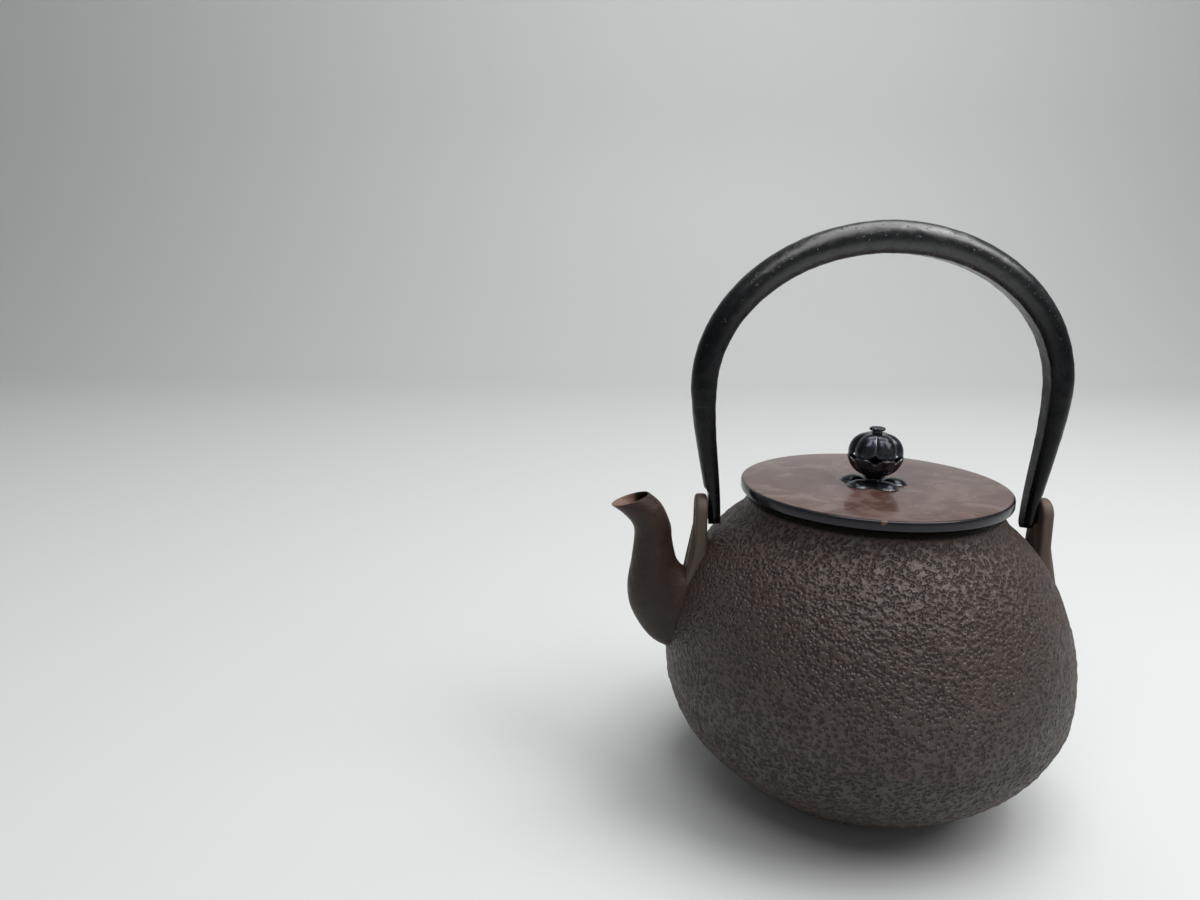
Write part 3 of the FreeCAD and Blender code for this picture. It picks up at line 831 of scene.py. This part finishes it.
def bow_place(share, sizes):
    """Point, direction, thickness and width of the rear half, from the crown at 0 to the pivot at 1."""
    knee = Vector((sizes.knee_half_span, 0, PIVOT.z + sizes.knee_rise))
    pivot = Vector((sizes.pivot_half_span, 0, PIVOT.z))
    crown = sizes.crown_rise - sizes.knee_rise
    if share < KNEE_SHARE:
        part = share / KNEE_SHARE
        angle = math.pi / 2 * part
        place = Vector((sizes.knee_half_span * math.sin(angle), 0, knee.z + crown * math.cos(angle)))
        along = Vector((sizes.knee_half_span * math.cos(angle), 0, -crown * math.sin(angle)))
        thick = sizes.crown_thickness + (sizes.knee_thickness - sizes.crown_thickness) * part
        wide = sizes.crown_width + (sizes.knee_width - sizes.crown_width) * part
        return place, along.normalized(), thick, wide
    part = (share - KNEE_SHARE) / (1 - KNEE_SHARE)
    first = knee - AXIS_Z * sizes.knee_pull
    second = pivot + step_in(sizes.leg_pull, math.pi / 2 - sizes.leg_lean)
    rest = 1 - part
    place = knee * rest ** 3 + first * (3 * rest ** 2 * part)
    place += second * (3 * rest * part ** 2) + pivot * part ** 3
    along = (first - knee) * rest ** 2 + (second - first) * (2 * rest * part) + (pivot - second) * part ** 2
    thick = sizes.knee_thickness + (sizes.end_thickness - sizes.knee_thickness) * part
    wide = sizes.knee_width + (sizes.end_width - sizes.knee_width) * part
    return place, along.normalized(), thick, wide


def bow_section(bm, side, place, along, thick, wide):
    """One ring of the handle, on the front or the rear half: an oval with a flat inner side."""
    outward = Vector((-along.z * side, 0, along.x))
    reach = thick / (1 + FLAT_SHARE)
    centre = Vector((place.x * side, 0, place.z)) + outward * (thick / 2 - reach)
    made = bmesh.ops.create_circle(
        bm, segments=BOW_SIDES, radius=1.0, matrix=placed(centre, AXIS_Y * (wide / 2), outward * reach)
    )
    for vert in made["verts"]:
        depth = (vert.co - centre).dot(outward)
        if depth < -reach * FLAT_SHARE:
            vert.co -= outward * (depth + reach * FLAT_SHARE)
    return list({edge for vert in made["verts"] for edge in vert.link_edges})


def half_bow(sizes):
    """The places of one half of the handle, from the crown down to the pivot."""
    return [bow_place(step / BOW_STEPS, sizes) for step in range(BOW_STEPS + 1)]


def cut_at_joint(bm, above):
    """Keeps what lies above or below the joint between the bow and its ends, and closes the cuts."""
    bmesh.ops.bisect_plane(
        bm, geom=bm.verts[:] + bm.edges[:] + bm.faces[:], dist=1e-7, plane_co=(0, 0, TUBE_LOW[2]),
        plane_no=AXIS_Z, clear_inner=above, clear_outer=not above,
    )
    bmesh.ops.holes_fill(bm, edges=[edge for edge in bm.edges if edge.is_boundary], sides=0)
    bmesh.ops.recalc_face_normals(bm, faces=bm.faces)


def bow_mesh(sizes):
    """The bow, with sections that run past each joint and are cut off there."""
    bm = bmesh.new()
    places = [row for row in half_bow(sizes) if row[0].z > TUBE_LOW[2] - sizes.joint_overlap]
    rings = [bow_section(bm, -1, *row) for row in reversed(places[1:])]
    rings += [bow_section(bm, 1, *row) for row in places]
    bridge_rings(bm, rings)
    cut_at_joint(bm, above=True)
    return bm


def end_mesh(side, sizes, lug):
    """A solid end that carries on the line of the bow, rounds off about the pivot and holds its peg."""
    bm = bmesh.new()
    places = [row for row in half_bow(sizes) if row[0].z < TUBE_LOW[2] + sizes.joint_overlap]
    place, along, thick, wide = places[-1]
    for step in range(1, END_STEPS):
        turn = math.pi / 2 * step / END_STEPS
        places.append((place + along * (wide / 2 * math.sin(turn)), along, thick, wide * math.cos(turn)))
    bridge_rings(bm, [bow_section(bm, side, *row) for row in places])
    for vert in bm.verts:
        limit = lug.inner - sizes.lug_gap + max(0.0, vert.co.z - PIVOT.z - sizes.lug_clear)
        vert.co.x = side * min(side * vert.co.x, limit)
    cut_at_joint(bm, above=False)
    peg = lug.inner + lug.thickness - sizes.peg_short - sizes.pivot_half_span
    middle = Vector((side * (sizes.pivot_half_span + peg / 2), 0, PIVOT.z))
    bmesh.ops.create_cone(
        bm, cap_ends=True, segments=PEG_SIDES, radius1=sizes.peg_radius, radius2=sizes.peg_radius, depth=peg,
        matrix=Matrix.Translation(middle) @ Matrix.Rotation(math.pi / 2, 4, "Y"),
    )
    bmesh.ops.recalc_face_normals(bm, faces=bm.faces)
    return bm


def hammer(bm, sizes):
    """Presses shallow hammer marks, which fade out at the joints."""
    bm.normal_update()
    moves = []
    for vert in bm.verts:
        fade = min(max((vert.co.z - TUBE_LOW[2]) / sizes.hammer_fade, 0.0), 1.0)
        near, following = noise.voronoi(vert.co * HAMMER_PITCH)[0][:2]
        mark = min((following - near) * 2.0, 1.0) + 0.5 * noise.noise(vert.co * DENT_PITCH)
        moves.append((vert, vert.normal * (-sizes.hammer_depth * fade * max(mark, 0.0))))
    for vert, move in moves:
        vert.co += move


class KETTLE_OT_handle(bpy.types.Operator):
    """Make the hollow bow and its two solid ends"""

    bl_idname = "kettle.handle"
    bl_label = "Handle"

    def execute(self, context):
        sizes = context.scene.kettle_handle
        bm = bow_mesh(sizes)
        hammer(bm, sizes)
        iron = forged_iron(context.scene.kettle_colours)
        finish_piece("handle_bow", bm, iron, "handle", ["handle_tube"], sharp=50)
        for node, side in (("handle_front_end", -1), ("handle_rear_end", 1)):
            bm = end_mesh(side, sizes, context.scene.kettle_lugs)
            finish_piece(node + "_forged", bm, iron, "handle", [node], sharp=50)
        return {"FINISHED"}


# Lid
LID_STEPS = 256


class KETTLE_OT_lid(bpy.types.Operator):
    """Make the lid's disc and finish its locating ring"""

    bl_idname = "kettle.lid"
    bl_label = "Lid"

    def execute(self, context):
        edge = context.scene.kettle_lid.edge
        hole = context.scene.kettle_lid.hole
        top = LID_HIGH[2]
        under = LID_LOW[2]
        radius = LID_HIGH[0]
        ring = RING_HIGH[0]
        plate = RING_HIGH[2]
        outline = [
            (hole, top), (radius * 0.35, top), (radius * 0.7, top), (radius - 2 * edge, top),
            (radius - edge, top - 0.15 * edge), (radius - 0.25 * edge, top - 0.6 * edge),
            (radius, top - 1.6 * edge), (radius, under + edge),
            (radius - 0.3 * edge, under + 0.3 * edge), (radius - edge, under),
            (ring, under), (ring, plate), (hole, plate), (hole, top),
        ]
        bm = spin_outline([Vector((x, 0, z)) for x, z in outline], LID_STEPS)
        bronze = lid_bronze(context.scene.kettle_colours)
        finish_piece("lid_plate", bm, bronze, "lid", ["lid_disc"], sharp=30)
        dress_node("lid_ring", bronze)
        return {"FINISHED"}


# Knob
SEAM_SIDE = math.radians(253)
WINDOW_CURVE = 1.5
DOME_CURVE = 0.8
CUP_SHARE = 0.7
NECK_SHARE = 0.3
UNDER_SHARE = 0.55
RIM_SHARE = 0.06
KNOB_STEPS = 240
CAP_STEPS = 128


def around(angle, across, up):
    """A point in a direction from the upright axis."""
    return Vector((across * math.cos(angle), across * math.sin(angle), up))


def lobe_reach(angle, sizes):
    """Radius of the lobed fruit in a direction, and the angle from the nearest seam."""
    spacing = FULL_TURN / sizes.lobes
    from_lobe = angle_from(angle, spacing, SEAM_SIDE + spacing / 2)
    ball = sizes.radius - sizes.lobe_ring
    reach = sizes.lobe_ring * math.cos(from_lobe)
    reach += math.sqrt(ball ** 2 - (sizes.lobe_ring * math.sin(from_lobe)) ** 2)
    from_seam = abs(angle_from(angle, spacing, SEAM_SIDE))
    return reach, from_seam


def window_share(from_seam, sizes):
    """1 at a seam, curving to 0 at the side corner of its opening."""
    return max(0.0, 1 - from_seam * sizes.radius / sizes.window_reach) ** WINDOW_CURVE


def fruit_formula(sizes, middle):
    """The upper shell, from the hole under the cap down to the openings at the seams."""
    def place(angle, share):
        reach, from_seam = lobe_reach(angle, sizes)
        edge = -sizes.split + sizes.window * window_share(from_seam, sizes)
        last = math.acos(edge / sizes.half_height)
        first = math.asin((sizes.top_hole / sizes.radius) ** (1 / sizes.fullness))
        turn = first + (last - first) * share
        across = reach * math.sin(turn) ** sizes.fullness
        dimple = sizes.dimple_depth * math.exp(-(across / sizes.dimple_width) ** 2)
        return around(angle, across, middle + sizes.half_height * math.cos(turn) - dimple)

    return place


def calyx_formula(sizes, middle, seat):
    """The lower cup, from the openings at the seams down to its foot on the seat."""
    def place(angle, share):
        reach, from_seam = lobe_reach(angle, sizes)
        edge = -sizes.split - sizes.window * window_share(from_seam, sizes)
        first = math.acos(edge / sizes.cup_depth)
        foot = math.asin((sizes.foot_radius / sizes.radius) ** (1 / sizes.fullness))
        last = math.pi - foot
        if share <= CUP_SHARE:
            part = share / CUP_SHARE
            turn = first + (last - first) * part
            across = reach * math.sin(turn) ** sizes.fullness * (1 + sizes.cup_flare * (1 - part))
            return around(angle, across, middle + sizes.cup_depth * math.cos(turn))
        part = (share - CUP_SHARE) / (1 - CUP_SHARE)
        start = middle - sizes.cup_depth * math.cos(foot)
        narrow = reach * math.sin(last) ** sizes.fullness
        across = narrow + (sizes.foot_radius - narrow) * part - sizes.foot_waist * math.sin(math.pi * part)
        return around(angle, across, start + (seat - start) * part)

    return place


def seat_formula(sizes, top):
    """The petals of the seat, from its hole out to their edge."""
    spacing = FULL_TURN / sizes.petals
    ring = sizes.petal_ring

    def place(angle, share):
        turn = angle_from(angle, spacing, SEAM_SIDE + spacing / 2)
        reach = ring * math.cos(turn)
        reach += math.sqrt(max(sizes.petal_radius ** 2 - (ring * math.sin(turn)) ** 2, 0))
        across = sizes.seat_hole + (reach - sizes.seat_hole) * share
        gap = math.hypot(across * math.cos(turn) - ring, across * math.sin(turn)) / sizes.petal_radius
        dome = sizes.petal_height * max(0.0, 1 - gap ** 2) ** DOME_CURVE
        crown = sizes.seat_crown * max(0.0, 1 - (across / sizes.seat_crown_radius) ** 2)
        return around(angle, across, top + sizes.seat_gap + max(dome, crown, sizes.seat_sheet))

    return place


def cap_formula(sizes, base, top):
    """The small flower, from its neck out to its waved edge and in to its top."""
    neck = sizes.cap_neck
    under = top - sizes.cap_depth
    edge = top - sizes.cap_edge

    def place(angle, share):
        wave = abs(math.cos(sizes.cap_petals / 2 * angle))
        reach = sizes.cap_radius + sizes.cap_wave * wave
        if share < NECK_SHARE:
            return around(angle, neck, base + (under - base) * share / NECK_SHARE)
        if share < UNDER_SHARE:
            part = (share - NECK_SHARE) / (UNDER_SHARE - NECK_SHARE)
            across = neck + (reach - neck) * math.sin(math.pi / 2 * part)
            return around(angle, across, under + (edge - under) * part ** 2)
        part = (share - UNDER_SHARE) / (1 - UNDER_SHARE)
        rise = math.sin(math.pi / 2 * part) * (0.75 + 0.25 * max(wave, part))
        return around(angle, reach * math.cos(math.pi / 2 * part), edge + (top - edge) * rise)

    return place


def seam_rub_and_glint(sizes):
    """How far the metal is painted pale at the seams between the lobes: partly rubbed wear, partly a painted
    highlight along the creases.
    """
    return lambda angle, share: max(0.0, 1 - lobe_reach(angle, sizes)[1] * sizes.radius / sizes.rub)


def rim_rub(first_row):
    """The same at the rim of a sheet, which is its first row or its last."""
    return lambda angle, share: max(0.0, 1 - (share if first_row else 1 - share) / RIM_SHARE)


def knob_sheet(name, formula, rub, rows, steps, metal, node, wall, middle):
    """A thin shaped sheet of the knob, given its thickness inwards."""
    bm = spin_sheet(rows, steps)
    layer = bm.verts.layers.float.new("rubbed")
    for vert in bm.verts:
        vert[layer] = rub(math.atan2(vert.co.y, vert.co.x), vert.co.z)
    reshape(bm, formula)
    centre = Vector((0, 0, middle))
    if sum(face.normal.dot(face.calc_center_median() - centre) for face in bm.faces) < 0:
        bmesh.ops.reverse_faces(bm, faces=bm.faces)
    piece = finish_piece(name, bm, metal, "lid", [node], sharp=50)
    if wall:
        solidify = piece.modifiers.new("Thickness", "SOLIDIFY")
        solidify.thickness = wall
        solidify.offset = -1.0


class KETTLE_OT_knob(bpy.types.Operator):
    """Make the fruit-shaped knob with its seat and cap, and finish the rivet and washer"""

    bl_idname = "kettle.knob"
    bl_label = "Knob"

    def execute(self, context):
        sizes = context.scene.kettle_knob
        metal = knob_metal(context.scene.kettle_colours)
        top = LID_HIGH[2]
        middle = top + sizes.centre
        cap_low, cap_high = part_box("knob_cap")
        seat = seat_formula(sizes, top)
        cup = calyx_formula(sizes, middle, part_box("knob_calyx")[0][2])
        fruit = fruit_formula(sizes, middle)
        flower = cap_formula(sizes, cap_low[2], cap_high[2])
        sheets = (
            ("knob_seat_petals", "knob_seat", seat, rim_rub(False), 24, KNOB_STEPS, 0.0),
            ("knob_calyx_cup", "knob_calyx", cup, rim_rub(True), 44, KNOB_STEPS, sizes.wall),
            ("knob_fruit_shell", "knob_fruit", fruit, seam_rub_and_glint(sizes), 40, KNOB_STEPS, sizes.wall),
            ("knob_cap_flower", "knob_cap", flower, rim_rub(False), 40, CAP_STEPS, 0.0),
        )
        for name, node, formula, rub, rows, steps, wall in sheets:
            knob_sheet(name, formula, rub, rows, steps, metal, node, wall, middle)
        dress_node("knob_rivet", metal)
        dress_node("rivet_washer", metal)
        return {"FINISHED"}


# Stage
CAMERA_PLACE = Vector((-0.11043, -0.36115, 0.22868))
CAMERA_YAW = math.radians(-0.41)
CAMERA_PITCH = math.radians(12.985)
CAMERA_ROLL = math.radians(-0.648)
FOCAL_PIXELS = 902.0
IMAGE_WIDTH = 1200.0
SENSOR_MM = 36.0
CAMERA_NEAR = 0.01
SKY_COLOUR = (0.97, 1.0, 1.0, 1)
SKY_STRENGTH = 0.17
LAMPS = (
    ("key", (0.75, -0.30, 1.2), (0, 0, 0.1), 0.8, 10.0),
    ("top", (0.32, 0.26, 1.6), (0, 0.3, 0.1), 1.2, 16.5),
    ("front", (-0.30, -0.60, 1.5), (0, 0, 0.1), 0.8, 6.0),
)
FLOOR_HALF_WIDTH = 3.0
FLOOR_FRONT = -3.0
WALL_PLACE = 1.6
WALL_HEIGHT = 3.0
WALL_BEND = 0.5
BEND_STEPS = 12


def camera_matrix():
    """The photograph's viewpoint, from its place, its turn, its tilt and its roll."""
    ahead = Vector((math.sin(CAMERA_YAW), math.cos(CAMERA_YAW), 0))
    forward = ahead * math.cos(CAMERA_PITCH) - AXIS_Z * math.sin(CAMERA_PITCH)
    level = Vector((math.cos(CAMERA_YAW), -math.sin(CAMERA_YAW), 0))
    down = forward.cross(level)
    right = level * math.cos(CAMERA_ROLL) + down * math.sin(CAMERA_ROLL)
    low = down * math.cos(CAMERA_ROLL) - level * math.sin(CAMERA_ROLL)
    return placed(CAMERA_PLACE, right, -low, -forward)


def add_lamp(name, place, target, size, watts):
    """A soft square lamp that faces a point."""
    lamp = bpy.data.lights.new(name, "AREA")
    lamp.shape = "SQUARE"
    lamp.size = size
    lamp.energy = watts
    holder = bpy.data.objects.new(name, lamp)
    holder.location = place
    holder.rotation_euler = (Vector(target) - Vector(place)).to_track_quat("-Z", "Y").to_euler()
    bpy.context.scene.collection.objects.link(holder)


def backdrop(paint_colour):
    """A floor that curves up to a back wall."""
    bm = bmesh.new()
    left = -FLOOR_HALF_WIDTH
    start = WALL_PLACE - WALL_BEND
    points = [Vector((left, FLOOR_FRONT, 0)), Vector((left, start, 0))]
    for step in range(1, BEND_STEPS + 1):
        turn = math.pi / 2 * step / BEND_STEPS
        rise = WALL_BEND - WALL_BEND * math.cos(turn)
        points.append(Vector((left, start + WALL_BEND * math.sin(turn), rise)))
    points.append(Vector((left, WALL_PLACE, WALL_HEIGHT)))
    verts = [bm.verts.new(point) for point in points]
    edges = [bm.edges.new(pair) for pair in zip(verts, verts[1:])]
    grown = bmesh.ops.extrude_edge_only(bm, edges=edges)["geom"]
    moved = [item for item in grown if isinstance(item, bmesh.types.BMVert)]
    bmesh.ops.translate(bm, vec=(2 * FLOOR_HALF_WIDTH, 0, 0), verts=moved)
    bmesh.ops.recalc_face_normals(bm, faces=bm.faces)
    mesh = bpy.data.meshes.new("backdrop")
    bm.to_mesh(mesh)
    bm.free()
    mesh.shade_smooth()
    paint = Paint("backdrop")
    mesh.materials.append(paint.set(Base_Color=paint_colour, Roughness=0.6))
    floor = bpy.data.objects.new("backdrop", mesh)
    bpy.context.scene.collection.objects.link(floor)


class KETTLE_OT_stage(bpy.types.Operator):
    """Make the floor, the soft light and the camera"""

    bl_idname = "kettle.stage"
    bl_label = "Stage"

    def execute(self, context):
        scene = context.scene
        backdrop(scene.kettle_colours.floor)
        world = bpy.data.worlds.new("studio")
        world.use_nodes = True
        sky = world.node_tree.nodes["Background"]
        sky.inputs["Color"].default_value = SKY_COLOUR
        sky.inputs["Strength"].default_value = SKY_STRENGTH
        scene.world = world
        for lamp in LAMPS:
            add_lamp(*lamp)
        camera = bpy.data.cameras.new("camera")
        camera.sensor_width = SENSOR_MM
        camera.lens = FOCAL_PIXELS / IMAGE_WIDTH * SENSOR_MM
        camera.clip_start = CAMERA_NEAR
        viewer = bpy.data.objects.new("camera", camera)
        viewer.matrix_world = camera_matrix()
        scene.collection.objects.link(viewer)
        scene.camera = viewer
        scene.view_settings.view_transform = "Standard"
        return {"FINISHED"}


class KETTLE_PT_panel(bpy.types.Panel):
    """The kettle's pieces, in the sidebar"""

    bl_label = "Kettle"
    bl_idname = "KETTLE_PT_panel"
    bl_space_type = "VIEW_3D"
    bl_region_type = "UI"
    bl_category = "Kettle"

    def draw(self, context):
        column = self.layout.column()
        for operator in OPERATORS:
            column.operator(operator.bl_idname)
        for group in GROUPS:
            box = self.layout.box()
            settings = getattr(context.scene, group)
            for name in settings.bl_rna.properties.keys():
                if name not in ("rna_type", "name"):
                    box.prop(settings, name)


OPERATORS = (
    KETTLE_OT_body, KETTLE_OT_spout, KETTLE_OT_lugs, KETTLE_OT_handle, KETTLE_OT_lid, KETTLE_OT_knob,
    KETTLE_OT_stage,
)
GROUPS = {
    "kettle_body": KettleBodySizes,
    "kettle_lugs": KettleLugSizes,
    "kettle_handle": KettleHandleSizes,
    "kettle_lid": KettleLidSizes,
    "kettle_knob": KettleKnobSizes,
    "kettle_colours": KettleColours,
}


def register():
    """Makes the pieces' operators, sizes and panel known to Blender."""
    for kind in tuple(GROUPS.values()) + OPERATORS + (KETTLE_PT_panel,):
        bpy.utils.register_class(kind)
    for name, kind in GROUPS.items():
        setattr(bpy.types.Scene, name, PointerProperty(type=kind))


def unregister():
    """Takes them out again."""
    for name in GROUPS:
        delattr(bpy.types.Scene, name)
    for kind in (KETTLE_PT_panel,) + OPERATORS[::-1] + tuple(GROUPS.values()):
        bpy.utils.unregister_class(kind)


def main():
    """Builds every piece and the stage."""
    register()
    bpy.ops.kettle.body()
    bpy.ops.kettle.spout()
    bpy.ops.kettle.lugs()
    bpy.ops.kettle.handle()
    bpy.ops.kettle.lid()
    bpy.ops.kettle.knob()
    bpy.ops.kettle.stage()


if __name__ == "__main__":
    main()
